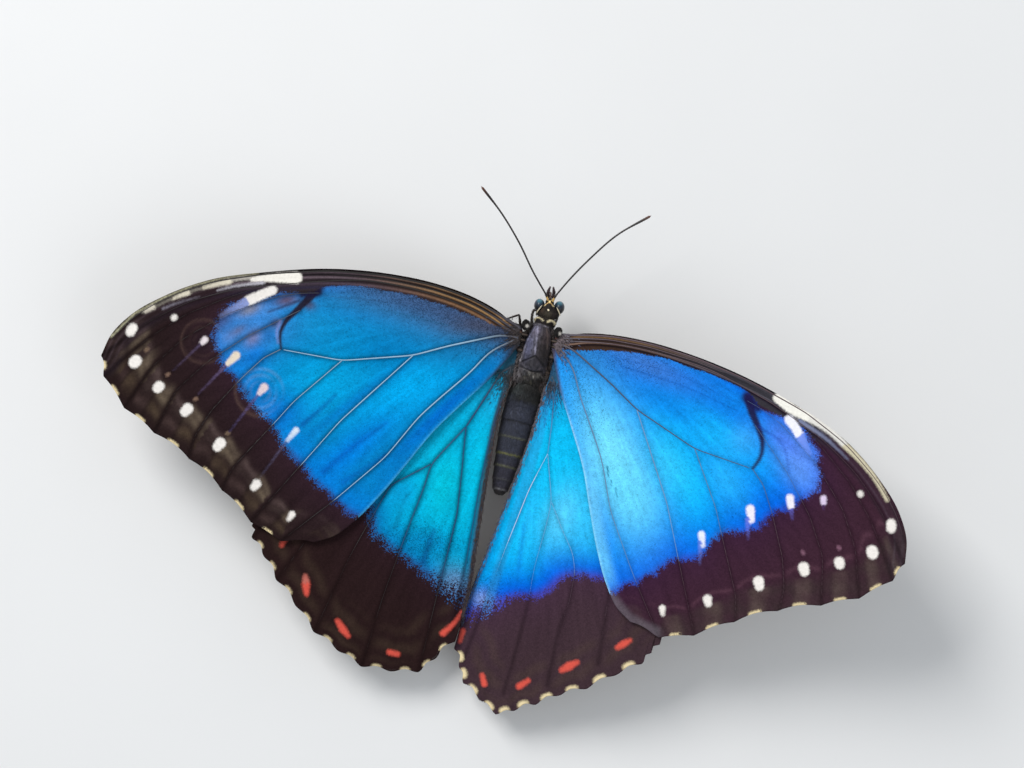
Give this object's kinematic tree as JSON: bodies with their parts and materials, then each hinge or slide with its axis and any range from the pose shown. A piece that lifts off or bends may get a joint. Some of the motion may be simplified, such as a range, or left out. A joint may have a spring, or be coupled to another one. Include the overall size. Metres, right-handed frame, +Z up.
{
  "type": "blue morpho butterfly model",
  "caption": "Life-size blue morpho butterfly with spread iridescent wings, standing on slim legs with feelers raised.",
  "frame": {"origin": "on the floor, under the middle of the butterfly's box", "axes": "+Z up; the head points to -Y; the butterfly's left wing is on +X"},
  "size_m": [0.1164, 0.0746, 0.023],
  "materials": {
    "wing": "iridescent blue scales with a dark brown border",
    "body": "dark shell under short grey-brown hair",
    "limb": "smooth dark brown horn",
    "eye": "glossy dark eye with a teal sheen"
  },
  "bodies": {
    "root": {"abdomen": "body", "antenna_left": "limb", "antenna_right": "limb", "collar": "body", "eye_left": "eye", "eye_right": "eye", "foreleg_left": "body", "foreleg_right": "body", "forewing_left": "wing", "forewing_right": "wing", "head": "body", "hindleg_femur_left": "limb", "hindleg_femur_right": "limb", "hindleg_tarsus_left": "limb", "hindleg_tarsus_right": "limb", "hindleg_tibia_left": "limb", "hindleg_tibia_right": "limb", "hindwing_left": "wing", "hindwing_right": "wing", "midleg_femur_left": "limb", "midleg_femur_right": "limb", "midleg_tarsus_left": "limb", "midleg_tarsus_right": "limb", "midleg_tibia_left": "limb", "midleg_tibia_right": "limb", "palp_left": "body", "palp_right": "body", "proboscis": "limb", "tegula_left": "body", "tegula_right": "body", "thorax": "body"}
  },
  "joints": []
}
